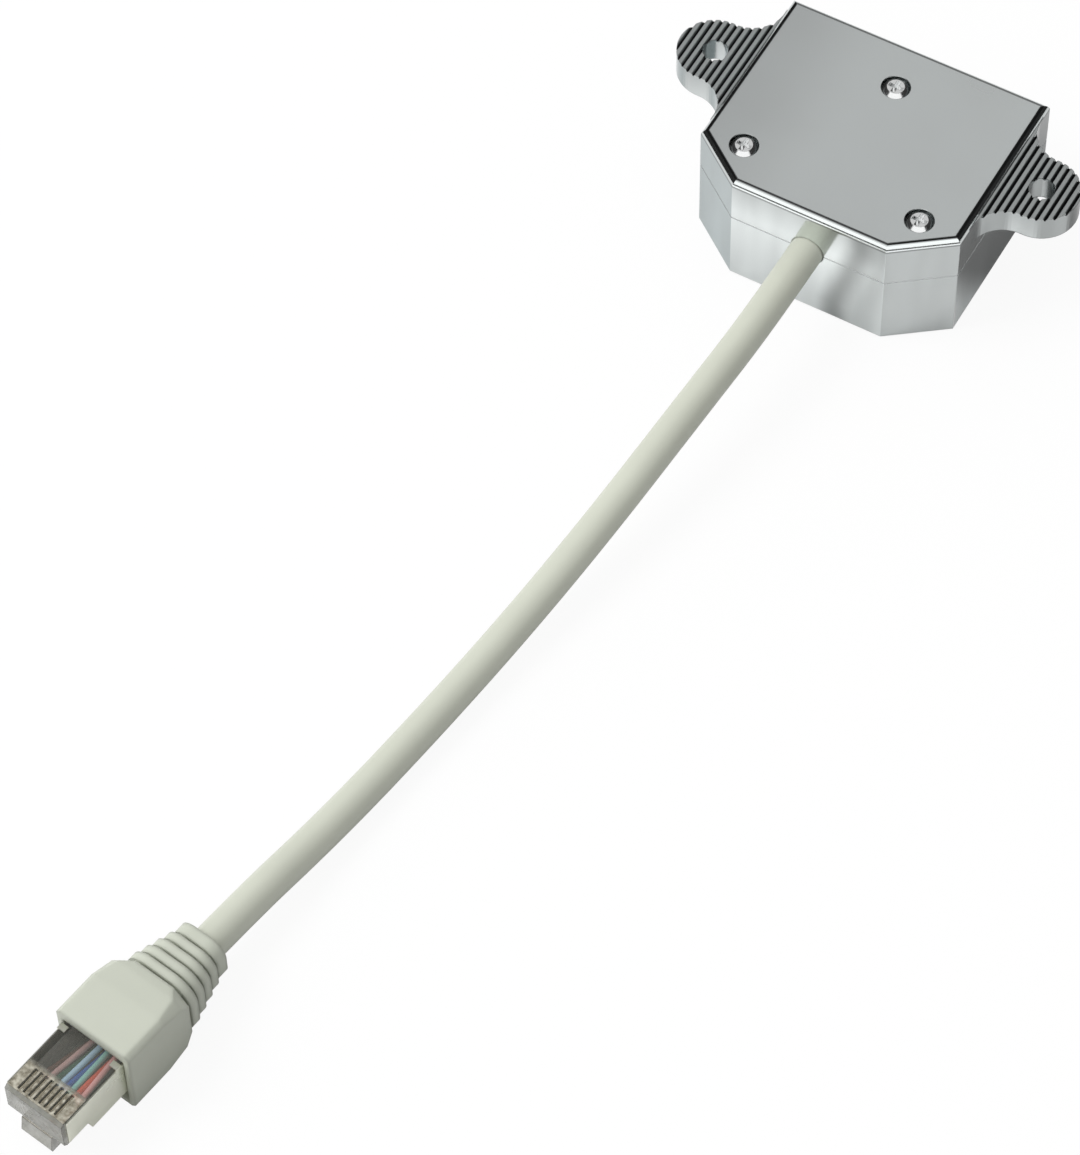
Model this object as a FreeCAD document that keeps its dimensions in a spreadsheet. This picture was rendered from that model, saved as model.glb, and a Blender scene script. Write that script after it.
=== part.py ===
import FreeCAD, Part
import math
import os
import re

import Sketcher
from FreeCAD import Vector

# Ethernet splitter: a plated two-shell housing with two jacks in its back wall, three case
# screws and two grooved ears, and a short round cable that ends in a booted plug.
# Millimetres. X runs towards the right ear, Y towards the jacks, Z up. The origin is the
# middle of the housing's underside. The plug's pieces are drawn in the plug's own frame,
# with X across it, Y towards its boot and zero at the top of its nose.

SIZES = [
    # Housing
    ("housing_width", 48, "across the side walls"),
    ("housing_length", 40, "front wall to back wall"),
    ("housing_height", 24, "underside to top face"),
    ("parting_height", 14.8, "joint between the two shells, and the cable's axis"),
    ("corner_run_x", 9.8, "slanted front corner, measured across"),
    ("corner_run_y", 7.3, "slanted front corner, measured front to back"),
    ("wall", 2, "side, front and back walls"),
    ("floor_thickness", 2, "underside of the lower shell"),
    ("top_thickness", 1.8, "top of the upper shell"),
    ("top_edge_radius", 1.4, "rounding round the top face"),
    ("base_edge_radius", 0.5, "rounding round the underside"),
    ("seam_chamfer", 0.12, "broken edges of both shells where they meet"),
    # Ears
    ("ear_reach", 30.4, "middle of the housing to the ear's hole"),
    ("ear_place", 4.1, "ear's hole behind the middle of the housing"),
    ("ear_tip_radius", 6.5, "round end of the ear"),
    ("ear_flare_radius", 6, "hollow curve that leads the ear into the side wall"),
    ("ear_root", 1, "how far the ear's blank reaches into the wall and along it"),
    ("ear_drop", 0.9, "top face down to the ear's top"),
    ("ear_thickness", 5, "ear's plate"),
    ("ear_hole_diameter", 4.4, "fixing hole"),
    ("groove_count", 10, "grooves on each ear"),
    ("groove_pitch", 1.29, "groove to groove"),
    ("groove_start", 0.65, "side wall to the first groove's middle"),
    ("groove_width", 0.62, "groove at its mouth"),
    ("groove_depth", 0.5, "groove's depth"),
    # Case screws
    ("screw_front_x", 16.2, "front screws from the middle plane"),
    ("screw_front_y", 12.2, "front screws ahead of the middle"),
    ("screw_rear_y", 10.8, "rear screw behind the middle"),
    ("screw_length", 16, "under the head"),
    ("screw_shank_diameter", 2.9, "threaded shank"),
    ("screw_head_diameter", 4.6, "raised head"),
    ("screw_head_side", 0.65, "straight side of the head"),
    ("screw_crown_diameter", 3, "flat top of the head, inside its slope"),
    ("screw_head_rise", 0.2, "top of the head above the top face"),
    ("screw_seat_depth", 1.1, "recess for the head"),
    ("screw_seat_gap", 0.2, "recess round the head"),
    ("screw_thread_gap", 0.05, "thread to its hole"),
    ("screw_hole_gap", 0.15, "shank to the upper shell"),
    ("screw_post_size", 6.2, "square posts and bosses round the screws"),
    ("screw_blind_end", 2, "material left under the thread's hole"),
    ("cross_length", 2.5, "drive recess, tip to tip"),
    ("cross_width", 0.72, "drive recess, arm"),
    ("cross_depth", 1, "drive recess"),
    # Board
    ("board_thickness", 1.6, "circuit board"),
    ("board_lift", 1, "pads under the board"),
    ("board_side_gap", 0.6, "board to the side walls"),
    ("board_back_gap", 0.3, "board to the back wall"),
    ("board_front", 13, "board's front edge behind the housing's front face"),
    ("board_post_gap", 0.3, "board to the rear post"),
    ("board_pad_size", 2.4, "square pads of the lower shell under the board"),
    ("board_pad_inset", 2, "pad's middle from the board's edge"),
    # Jacks
    ("jack_spacing", 23.2, "middle to middle"),
    ("jack_width", 16.2, "over the shield"),
    ("jack_height", 13.4, "over the shield, from the board"),
    ("jack_depth", 15.8, "front to back"),
    ("jack_sheet", 0.3, "sheet metal of the shield"),
    ("jack_fit", 0.05, "insert to its shield"),
    ("jack_window_gap", 0.1, "back wall round the shield"),
    ("jack_mouth_width", 13.2, "window in the shield's face"),
    ("jack_mouth_low", 0.8, "window's lower edge from the board"),
    ("jack_mouth_high", 11.8, "window's upper edge from the board"),
    ("jack_socket_width", 11.9, "socket for a plug"),
    ("jack_socket_top", 10.9, "socket's ceiling from the board"),
    ("jack_socket_floor", 4.1, "socket's floor from the board"),
    ("jack_socket_depth", 12.6, "socket's depth"),
    ("jack_step_width", 6.3, "upper step for the latch"),
    ("jack_step_floor", 2.6, "upper step from the board"),
    ("jack_notch_width", 4, "lower step for the latch"),
    ("jack_notch_floor", 1.4, "lower step from the board"),
    ("jack_channel_width", 8.4, "channel for the springs"),
    ("jack_channel_depth", 1, "channel for the springs"),
    ("jack_slot_front", 1.2, "springs' slot behind the insert's face"),
    ("jack_slot_back", 5.4, "end of that slot behind the insert's face"),
    ("spring_thickness", 0.35, "contact spring"),
    ("spring_width", 0.45, "contact spring"),
    ("spring_lift", 0.25, "springs above the channel's floor"),
    ("spring_leg_gap", 0.3, "springs' legs to the shield"),
    ("spring_nose", 2.1, "springs' bend behind the shield's face"),
    ("spring_tip", 10.2, "springs' tips behind the shield's face"),
    ("spring_tip_height", 7.3, "springs' tips from the board"),
    ("contact_count", 8, "ways"),
    ("contact_pitch", 1.02, "way to way"),
    # Cable
    ("cable_diameter", 5.8, "jacket"),
    ("cable_end", 8, "jacket's end behind the housing's front face"),
    ("cable_hole_gap", 0.1, "shells round the jacket"),
    ("ferrule_length", 4, "crimped sleeve behind the front wall"),
    ("ferrule_thickness", 0.4, "crimped sleeve"),
    ("ferrule_gap", 0.1, "sleeve to the wall and the rib"),
    ("rib_thickness", 1.2, "rib that holds the sleeve"),
    ("rib_width", 14, "rib that holds the sleeve"),
    ("wire_diameter", 0.92, "one insulated wire"),
    ("board_wire_place", 2.4, "first row of wire ends behind the board's front edge"),
    ("board_wire_rows", 2.2, "first row to second row"),
    ("bundle_pitch", 1.15, "wires in the jacket, side by side"),
    ("bundle_rise", 0.9, "wires in the jacket, above and below its axis"),
    ("bundle_stagger", 0.2, "upper wires to one side of the lower ones, and back"),
    # Plug
    ("plug_x", -26.15, "nose, across"),
    ("plug_y", -214.6, "nose, along"),
    ("plug_top", 12.6, "plug's top face above the table"),
    ("plug_yaw", -8.9, "degrees"),
    ("plug_width", 11.7, "over the shield"),
    ("plug_length", 21.25, "clear body"),
    ("plug_height", 8.1, "clear body behind its nose"),
    ("plug_nose_height", 6.5, "clear body at the nose"),
    ("plug_nose_length", 5.6, "raised underside over the latch"),
    ("plug_edge", 0.6, "slant of the nose's edges"),
    ("plug_sheet", 0.25, "sheet metal of the shield"),
    ("shield_front", 0.9, "shield's front edge"),
    ("shield_hem", 0.5, "clear strip under the shield's front"),
    ("shield_lip", 0.3, "clear strip above the shield's sides"),
    ("shield_roof", 13.9, "shield closes over the top from here"),
    ("tab_front", 12.1, "folded tabs on top"),
    ("tab_length", 1.1, "folded tabs on top"),
    ("tab_reach", 1.4, "folded tabs on top"),
    ("crimp_length", 4.3, "shield's sleeve on the cable"),
    ("crimp_thickness", 0.4, "shield's sleeve on the cable"),
    ("crimp_gap", 0.02, "crimped sleeves to the jacket"),
    ("blade_front", 1.1, "contact blade's front edge"),
    ("blade_back", 5, "contact blade's back edge"),
    ("blade_top", 0.45, "blade under the top face"),
    ("blade_shoulder", 2.1, "blade's body"),
    ("blade_point", 2.8, "blade's teeth, on the wires"),
    ("blade_thickness", 0.35, "contact blade"),
    ("blade_gap", 0.08, "slot round the blade"),
    ("wire_row", 3.3, "row of wires under the top face"),
    ("wire_row_gap", 0.1, "channel round the row of wires"),
    ("wire_front", 0.7, "wires' channel ends here"),
    ("wire_bend", 0.4, "wires bend behind the front of the bundle's hollow"),
    ("wire_end_gap", 0.25, "slanting wires to the jacket's end"),
    ("bundle_front", 6.3, "hollow for the bundle of wires begins"),
    ("bundle_half_width", 4.9, "hollow for the bundle of wires"),
    ("bundle_roof", 1.4, "hollow under the top face"),
    ("bundle_floor", 7.3, "hollow's floor under the top face"),
    # Latch
    ("latch_pivot_y", 0.5, "root of the latch behind the nose"),
    ("latch_gap", 0.2, "latch to the clear body"),
    ("latch_width", 6, "locking block"),
    ("latch_back", 4.8, "locking shoulder behind the nose"),
    ("latch_depth", 10.4, "underside of the block from the top face"),
    ("latch_lean", 0.8, "front of the block ahead of its root, at its underside"),
    ("lever_width", 3.3, "lever"),
    ("lever_thickness", 1, "lever"),
    ("lever_start", 8.9, "lever's top at the block"),
    ("lever_end", 10.4, "lever's top at its end"),
    ("lever_back", 15.5, "lever's end behind the nose"),
    # Boot
    ("boot_front", 13.6, "boot's mouth behind the nose"),
    ("boot_straight", 8, "straight part of the boot"),
    ("boot_shoulder", 12.2, "straight part and its shoulder"),
    ("boot_length", 14.1, "straight part, shoulder and taper"),
    ("boot_width", 14.3, "mouth"),
    ("boot_height", 15, "mouth"),
    ("boot_lift", 0.05, "boot above the table"),
    ("boot_bevel", 0.8, "bevelled long edges"),
    ("shoulder_width", 14, "end of the shoulder"),
    ("shoulder_height", 14.3, "end of the shoulder"),
    ("shoulder_bevel", 1.6, "bevel at the end of the shoulder"),
    ("boot_end_width", 12.9, "end of the taper"),
    ("boot_end_height", 13.3, "end of the taper"),
    ("boot_end_bevel", 2.8, "bevel at the end of the taper"),
    ("boot_wall", 0.95, "floor under the latch"),
    ("boot_fit", 0.12, "boot round the shield"),
    ("boot_pocket", 8.4, "depth of the mouth's hollow"),
    ("ring_count", 5, "rings of the bend relief, with its collar"),
    ("ring_pitch", 2.05, "ring to ring"),
    ("ring_gap", 0.55, "slots between the rings"),
    ("ring_first", 12.8, "first ring, across"),
    ("ring_shrink", 1, "each next ring is smaller by this"),
    ("collar_length", 2.1, "last ring"),
    ("ring_corner", 0.34, "rounding of a ring, as a share of its width"),
    ("web_place", 0.37, "webs' outer corners, as a share of the ring's width"),
    ("web_width", 1.7, "webs at the corners"),
]

# Route of the cable, from inside the housing to the plug's sleeve. These points are chosen by
# hand and the curves between them are worked out below.
CABLE_ROUTE = [
    (0, -12, 14.8),
    (0, -34, 14.8),
    (-2.3, -57.5, 12.6),
    (-5.3, -80.5, 8.3),
    (-8.85, -102, 4.3),
    (-12.3, -124.5, 3.0),
    (-15.8, -147, 3.2),
    (-19.188, -170.142, 6.9),
    (-22.824, -193.359, 6.9),
]

doc = FreeCAD.newDocument("ethernet_splitter")
sheet = doc.addObject("Spreadsheet::Sheet", "dims")
for row, (alias, number, note) in enumerate(SIZES, start=1):
    sheet.set(f"A{row}", alias)
    sheet.set(f"B{row}", str(number))
    sheet.set(f"C{row}", note)
    sheet.setAlias(f"B{row}", alias)
doc.recompute()

ALIASES = {alias for alias, _number, _note in SIZES}


def bound(formula):
    """Point each size named in a formula at its cell in the sheet."""
    return re.sub(r"[a-z_]+", lambda word: f"dims.{word[0]}" if word[0] in ALIASES else word[0], str(formula))


def size(formula):
    """Work out a formula from the sheet's present numbers."""
    return float(sheet.evalExpression(bound(formula)))


def minus(formula):
    return f"-({formula})"


# Sketches and features

def make_body(name):
    body = doc.addObject("PartDesign::Body", name)
    body.Label = name
    body.AllowCompound = True
    return body


def origin_plane(body, role):
    return next(item for item in body.Origin.OriginFeatures if item.Role == role)


def make_sketch(body, name, role, offset="0"):
    """Sketch on an origin plane of its body, moved along the plane's normal by offset."""
    sketch = body.newObject("Sketcher::SketchObject", name)
    sketch.AttachmentSupport = [(origin_plane(body, role), "")]
    sketch.MapMode = "FlatFace"
    sketch.setExpression("AttachmentOffset.Base.z", bound(offset))
    return sketch


def tie(sketch, kind, *where, formula):
    """Add a measured constraint that follows a formula of the sheet."""
    index = sketch.addConstraint(Sketcher.Constraint(kind, *where, size(formula)))
    sketch.setExpression(f"Constraints[{index}]", bound(formula))


def tie_point(sketch, geometry, end, across, up):
    tie(sketch, "DistanceX", -1, 1, geometry, end, formula=across)
    tie(sketch, "DistanceY", -1, 1, geometry, end, formula=up)


def add_polygon(sketch, corners):
    """Closed polygon whose corners are pairs of formulas."""
    first = sketch.GeometryCount
    points = [Vector(size(across), size(up), 0) for across, up in corners]
    count = len(points)
    for index, point in enumerate(points):
        sketch.addGeometry(Part.LineSegment(point, points[(index + 1) % count]), False)
    for index in range(count):
        after = first + (index + 1) % count
        sketch.addConstraint(Sketcher.Constraint("Coincident", first + index, 2, after, 1))
    for index, (across, up) in enumerate(corners):
        tie_point(sketch, first + index, 1, across, up)


def add_rectangle(sketch, left, right, low, high):
    add_polygon(sketch, [(left, low), (right, low), (right, high), (left, high)])


def add_bevelled_rectangle(sketch, middle, width, height, bevel):
    """Rectangle with cut corners, centred across and at the height of middle."""
    half = f"({width} / 2)"
    top = f"({middle} + {height} / 2)"
    low = f"({middle} - {height} / 2)"
    add_polygon(sketch, [
        (f"{half} - {bevel}", low), (half, f"{low} + {bevel}"), (half, f"{top} - {bevel}"),
        (f"{half} - {bevel}", top), (f"{bevel} - {half}", top), (minus(half), f"{top} - {bevel}"),
        (minus(half), f"{low} + {bevel}"), (f"{bevel} - {half}", low),
    ])


def add_circle(sketch, across, up, radius):
    centre = Vector(size(across), size(up), 0)
    index = sketch.addGeometry(Part.Circle(centre, Vector(0, 0, 1), size(radius)), False)
    tie(sketch, "Radius", index, formula=radius)
    tie_point(sketch, index, 3, across, up)


def add_rounded_rectangle(sketch, middle, width, height, radius):
    """Rectangle with round corners, centred across and at the height of middle."""
    half_x = f"(({width}) / 2 - ({radius}))"
    half_y = f"(({height}) / 2 - ({radius}))"
    signs = [(1, -1), (1, 1), (-1, 1), (-1, -1)]
    first = sketch.GeometryCount
    round_off = size(radius)
    for index, (side, level) in enumerate(signs):
        centre = Vector(side * size(half_x), size(middle) + level * size(half_y), 0)
        start = math.radians(-90 + 90 * index)
        circle = Part.Circle(centre, Vector(0, 0, 1), round_off)
        sketch.addGeometry(Part.ArcOfCircle(circle, start, start + math.pi / 2), False)
    for index in range(4):
        begin = sketch.getPoint(first + index, 2)
        end = sketch.getPoint(first + (index + 1) % 4, 1)
        sketch.addGeometry(Part.LineSegment(begin, end), False)
    for index, (side, level) in enumerate(signs):
        line = first + 4 + index
        after = first + (index + 1) % 4
        sketch.addConstraint(Sketcher.Constraint("Tangent", first + index, 2, line, 1))
        sketch.addConstraint(Sketcher.Constraint("Tangent", line, 2, after, 1))
        tie(sketch, "Radius", first + index, formula=radius)
        tie_point(sketch, first + index, 3, f"{side} * {half_x}", f"{middle} + {level} * {half_y}")


def add_pad(body, name, sketch, length, middle=False, backwards=False):
    pad = body.newObject("PartDesign::Pad", name)
    pad.Profile = sketch
    pad.setExpression("Length", bound(length))
    pad.Midplane = middle
    pad.Reversed = backwards
    return pad


def add_pocket(body, name, sketch, length, middle=False, backwards=False):
    pocket = body.newObject("PartDesign::Pocket", name)
    pocket.Profile = sketch
    pocket.setExpression("Length", bound(length))
    pocket.Midplane = middle
    pocket.Reversed = backwards
    return pocket


def add_row(body, name, feature, sketch, count, pitch, backwards=False):
    """Repeat a feature along its sketch's horizontal axis."""
    row = body.newObject("PartDesign::LinearPattern", name)
    row.Originals = [feature]
    row.Direction = (sketch, ["H_Axis"])
    row.Mode = "Spacing"
    row.Reversed = backwards
    row.setExpression("Offset", bound(pitch))
    row.setExpression("Occurrences", bound(count))
    body.Tip = row
    return row


def add_fillet(body, name, feature, radius, chosen):
    """Round the edges of a feature that the test picks."""
    doc.recompute()
    names = [f"Edge{index}" for index, edge in enumerate(feature.Shape.Edges, start=1) if chosen(edge)]
    fillet = body.newObject("PartDesign::Fillet", name)
    fillet.Base = (feature, names)
    fillet.setExpression("Radius", bound(radius))
    return fillet


def add_chamfer(body, name, feature, leg, chosen):
    """Break the edges of a feature that the test picks."""
    doc.recompute()
    names = [f"Edge{index}" for index, edge in enumerate(feature.Shape.Edges, start=1) if chosen(edge)]
    chamfer = body.newObject("PartDesign::Chamfer", name)
    chamfer.Base = (feature, names)
    chamfer.setExpression("Size", bound(leg))
    return chamfer


def at_height(level):
    return lambda edge: abs(edge.BoundBox.ZMin - level) < 1e-6 and abs(edge.BoundBox.ZMax - level) < 1e-6


def place_in_plug_frame(item):
    item.setExpression("Placement.Base.x", bound("plug_x"))
    item.setExpression("Placement.Base.y", bound("plug_y"))
    item.setExpression("Placement.Base.z", bound("plug_top"))
    item.setExpression("Placement.Rotation.Angle", bound("plug_yaw"))


# Housing

HALF_WIDTH = "housing_width / 2"
HALF_LENGTH = "housing_length / 2"
JACK_BASE = "(floor_thickness + board_lift + board_thickness)"
BOARD_EDGE = "(board_front - housing_length / 2)"
CABLE_HOLE = "(cable_diameter / 2 + cable_hole_gap)"
SCREW_PLACES = [
    ("screw_front_x", "-screw_front_y"),
    ("-screw_front_x", "-screw_front_y"),
    ("0", "screw_rear_y"),
]


def housing_outline(inset):
    """Five-sided front and square back, drawn inwards by inset."""
    slope = "sqrt(corner_run_x ^ 2 + corner_run_y ^ 2)"
    side = f"({HALF_WIDTH} - {inset})"
    back = f"({HALF_LENGTH} - {inset})"
    front_x = f"({HALF_WIDTH} - corner_run_x - {inset} * ({slope} - corner_run_x) / corner_run_y)"
    corner_y = f"(-{HALF_LENGTH} + corner_run_y + {inset} * ({slope} - corner_run_y) / corner_run_x)"
    return [
        (minus(front_x), minus(back)), (front_x, minus(back)), (side, corner_y),
        (side, back), (minus(side), back), (minus(side), corner_y),
    ]


def cut_jack_windows(body, low, high):
    """Windows of the back wall, between two heights."""
    sketch = make_sketch(body, body.Name + "_windows_sketch", "XZ_Plane", f"-({HALF_LENGTH} - wall / 2)")
    half = "(jack_width / 2 + jack_window_gap)"
    for side in (-1, 1):
        middle = f"({side} * jack_spacing / 2)"
        add_rectangle(sketch, f"{middle} - {half}", f"{middle} + {half}", low, high)
    add_pocket(body, body.Name + "_windows", sketch, "wall * 2", middle=True)


def cut_cable_hole(body):
    """Round hole through the front wall and the rib, half of it in each shell."""
    start = f"({HALF_LENGTH} + 1)"
    reach = "wall + ferrule_length + 2 * ferrule_gap + rib_thickness + 2"
    sketch = make_sketch(body, body.Name + "_cable_hole_sketch", "XZ_Plane", start)
    add_circle(sketch, "0", "parting_height", CABLE_HOLE)
    add_pocket(body, body.Name + "_cable_hole", sketch, reach)


def add_rib(body, low, high):
    """Rib behind the crimped sleeve, which takes the pull on the cable."""
    middle = f"({HALF_LENGTH} - wall - ferrule_length - 2 * ferrule_gap - rib_thickness / 2)"
    sketch = make_sketch(body, body.Name + "_rib_sketch", "XZ_Plane", middle)
    add_rectangle(sketch, "-rib_width / 2", "rib_width / 2", low, high)
    add_pad(body, body.Name + "_rib", sketch, "rib_thickness", middle=True)


def add_ears(body):
    """Grooved ears with hollow flanks that run into the side walls."""
    ear_top = "(housing_height - ear_drop)"
    sketch = make_sketch(body, "ear_sketch", "XY_Plane", f"{ear_top} - ear_thickness")
    wall_x = size(HALF_WIDTH)
    root = size("ear_root")
    reach = size("ear_reach")
    middle = size("ear_place")
    tip = size("ear_tip_radius")
    flare = size("ear_flare_radius")
    flare_x = wall_x + flare
    flare_y = math.sqrt((tip + flare) ** 2 - (reach - flare_x) ** 2)
    lean = math.atan2(flare_y, flare_x - reach)
    join = Vector(reach + tip * math.cos(lean), middle + tip * math.sin(lean), 0)
    join_low = Vector(join.x, 2 * middle - join.y, 0)
    span = tip + flare + root
    corners = [
        Vector(wall_x, middle + flare_y, 0), Vector(wall_x, middle + span, 0),
        Vector(wall_x - root, middle + span, 0), Vector(wall_x - root, middle - span, 0),
        Vector(wall_x, middle - span, 0), Vector(wall_x, middle - flare_y, 0),
    ]
    lines = [sketch.addGeometry(Part.LineSegment(a, b), False) for a, b in zip(corners, corners[1:])]
    normal = Vector(0, 0, 1)
    low = Part.ArcOfCircle(
        Part.Circle(Vector(flare_x, middle - flare_y, 0), normal, flare), math.pi - lean, math.pi)
    round_tip = Part.ArcOfCircle(Part.Circle(Vector(reach, middle, 0), normal, tip), -lean, lean)
    high = Part.ArcOfCircle(
        Part.Circle(Vector(flare_x, middle + flare_y, 0), normal, flare), math.pi, math.pi + lean)
    low, round_tip, high = [sketch.addGeometry(arc, False) for arc in (low, round_tip, high)]
    for before, after in zip(lines, lines[1:]):
        sketch.addConstraint(Sketcher.Constraint("Coincident", before, 2, after, 1))
    sketch.addConstraint(Sketcher.Constraint("Tangent", lines[-1], 2, low, 2))
    sketch.addConstraint(Sketcher.Constraint("Tangent", low, 1, round_tip, 1))
    sketch.addConstraint(Sketcher.Constraint("Tangent", round_tip, 2, high, 2))
    sketch.addConstraint(Sketcher.Constraint("Tangent", high, 1, lines[0], 1))
    sketch.addConstraint(Sketcher.Constraint("Vertical", lines[0]))
    sketch.addConstraint(Sketcher.Constraint("Vertical", lines[-1]))
    tie(sketch, "Radius", low, formula="ear_flare_radius")
    tie(sketch, "Radius", high, formula="ear_flare_radius")
    tie(sketch, "Radius", round_tip, formula="ear_tip_radius")
    tie_point(sketch, round_tip, 3, "ear_reach", "ear_place")
    ear_span = "(ear_tip_radius + ear_flare_radius + ear_root)"
    tie_point(sketch, lines[1], 1, HALF_WIDTH, f"ear_place + {ear_span}")
    tie_point(sketch, lines[2], 1, f"{HALF_WIDTH} - ear_root", f"ear_place + {ear_span}")
    tie_point(sketch, lines[3], 1, f"{HALF_WIDTH} - ear_root", f"ear_place - {ear_span}")
    tie_point(sketch, lines[4], 1, HALF_WIDTH, f"ear_place - {ear_span}")
    ear = add_pad(body, "ear", sketch, "ear_thickness")

    holes = make_sketch(body, "ear_hole_sketch", "XY_Plane", ear_top)
    add_circle(holes, "ear_reach", "ear_place", "ear_hole_diameter / 2")
    hole = add_pocket(body, "ear_hole", holes, "ear_thickness")
    both = body.newObject("PartDesign::Mirrored", "both_ears")
    both.Originals = [ear, hole]
    both.MirrorPlane = (origin_plane(body, "YZ_Plane"), [""])
    body.Tip = both

    for name, side in (("right", 1), ("left", -1)):
        sketch = make_sketch(body, f"groove_{name}_sketch", "XZ_Plane", "0")
        place = f"{side} * ({HALF_WIDTH} + groove_start)"
        add_polygon(sketch, [
            (f"{place} - groove_width / 2", ear_top), (place, f"{ear_top} - groove_depth"),
            (f"{place} + groove_width / 2", ear_top),
        ])
        groove = add_pocket(body, f"groove_{name}", sketch, "housing_length", middle=True)
        add_row(body, f"grooves_{name}", groove, sketch, "groove_count", "groove_pitch", backwards=side < 0)


def add_posts(sketch, gap, places=SCREW_PLACES):
    """Square outlines round the screws, gap wider on each side."""
    half = f"(screw_post_size / 2 + {gap})"
    for across, along in places:
        add_rectangle(sketch, f"{across} - {half}", f"{across} + {half}", f"{along} - {half}", f"{along} + {half}")


def build_upper_shell():
    body = make_body("upper_shell")
    outline = make_sketch(body, "upper_outline", "XY_Plane", "parting_height")
    add_polygon(outline, housing_outline("0"))
    block = add_pad(body, "upper_block", outline, "housing_height - parting_height")
    top = add_fillet(body, "top_edge", block, "top_edge_radius", at_height(size("housing_height")))
    add_chamfer(body, "upper_seam", top, "seam_chamfer", at_height(size("parting_height")))
    add_ears(body)

    hollow = make_sketch(body, "upper_hollow_sketch", "XY_Plane", "parting_height")
    add_polygon(hollow, housing_outline("wall"))
    depth = "housing_height - parting_height - top_thickness"
    add_pocket(body, "upper_hollow", hollow, depth, backwards=True)
    bosses = make_sketch(body, "boss_sketch", "XY_Plane", "parting_height")
    add_posts(bosses, "0")
    add_pad(body, "bosses", bosses, f"{depth} + top_thickness / 2")
    add_rib(body, "parting_height", "housing_height - top_thickness / 2")

    holes = make_sketch(body, "screw_hole_sketch", "XY_Plane", "housing_height")
    for across, along in SCREW_PLACES:
        add_circle(holes, across, along, "screw_shank_diameter / 2 + screw_hole_gap")
    add_pocket(body, "screw_holes", holes, "housing_height - parting_height + 1")
    seats = make_sketch(body, "screw_seat_sketch", "XY_Plane", "housing_height")
    for across, along in SCREW_PLACES:
        add_circle(seats, across, along, "screw_head_diameter / 2 + screw_seat_gap")
    add_pocket(body, "screw_seats", seats, "screw_seat_depth")
    cut_jack_windows(body, "parting_height - 1", f"{JACK_BASE} + jack_height + jack_window_gap")
    cut_cable_hole(body)
    return body


def build_lower_shell():
    body = make_body("lower_shell")
    outline = make_sketch(body, "lower_outline", "XY_Plane", "0")
    add_polygon(outline, housing_outline("0"))
    block = add_pad(body, "lower_block", outline, "parting_height")
    base = add_fillet(body, "base_edge", block, "base_edge_radius", at_height(0))
    add_chamfer(body, "lower_seam", base, "seam_chamfer", at_height(size("parting_height")))

    hollow = make_sketch(body, "lower_hollow_sketch", "XY_Plane", "parting_height")
    add_polygon(hollow, housing_outline("wall"))
    add_pocket(body, "lower_hollow", hollow, "parting_height - floor_thickness")
    posts = make_sketch(body, "post_sketch", "XY_Plane", "floor_thickness / 2")
    add_posts(posts, "0")
    add_pad(body, "posts", posts, "parting_height - floor_thickness / 2")
    add_rib(body, "floor_thickness / 2", "parting_height")

    pads = make_sketch(body, "board_pad_sketch", "XY_Plane", "floor_thickness / 2")
    half = "board_pad_size / 2"
    pad_x = f"({HALF_WIDTH} - wall - board_side_gap - board_pad_inset)"
    front = f"({BOARD_EDGE} + board_pad_inset)"
    back = f"({HALF_LENGTH} - wall - board_back_gap - board_pad_inset)"
    for side in (-1, 1):
        for along in (front, back):
            across = f"{side} * {pad_x}"
            add_rectangle(pads, f"{across} - {half}", f"{across} + {half}", f"{along} - {half}", f"{along} + {half}")
    add_pad(body, "board_pads", pads, "floor_thickness / 2 + board_lift")

    threads = make_sketch(body, "thread_sketch", "XY_Plane", "parting_height")
    for across, along in SCREW_PLACES:
        add_circle(threads, across, along, "screw_shank_diameter / 2 + screw_thread_gap")
    add_pocket(body, "threads", threads, "parting_height - screw_blind_end")
    cut_jack_windows(body, f"{JACK_BASE} - jack_window_gap", "parting_height + 1")
    cut_cable_hole(body)
    return body


def build_case_screws():
    """Three raised cross-recess screws, seated in the upper shell."""
    body = make_body("case_screws")
    seat = "(housing_height - screw_seat_depth)"
    head = "(housing_height + screw_head_rise)"
    for number, (across, along) in enumerate(SCREW_PLACES, start=1):
        sketch = make_sketch(body, f"screw_sketch_{number}", "XZ_Plane", minus(along))
        shank = f"({across} + screw_shank_diameter / 2)"
        rim = f"({across} + screw_head_diameter / 2)"
        crown = f"({across} + screw_crown_diameter / 2)"
        add_polygon(sketch, [
            (across, head), (across, f"{seat} - screw_length"), (shank, f"{seat} - screw_length"),
            (shank, seat), (rim, seat), (rim, f"{seat} + screw_head_side"), (crown, head),
        ])
        turn = body.newObject("PartDesign::Revolution", f"screw_{number}")
        turn.Profile = sketch
        turn.ReferenceAxis = (sketch, ["Edge1"])
        turn.Angle = 360
    crosses = make_sketch(body, "cross_sketch", "XY_Plane", head)
    long_arm = "cross_length / 2"
    thin = "cross_width / 2"
    for across, along in SCREW_PLACES:
        steps = [(long_arm, thin), (thin, thin), (thin, long_arm)]
        corners = []
        for side, level in ((1, 1), (-1, 1), (-1, -1), (1, -1)):
            ordered = steps if side * level > 0 else steps[::-1]
            corners += [(f"{across} + {side} * {x}", f"{along} + {level} * {y}") for x, y in ordered]
        add_polygon(crosses, corners)
    add_pocket(body, "crosses", crosses, "cross_depth")
    return body


# Board and jacks

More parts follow.
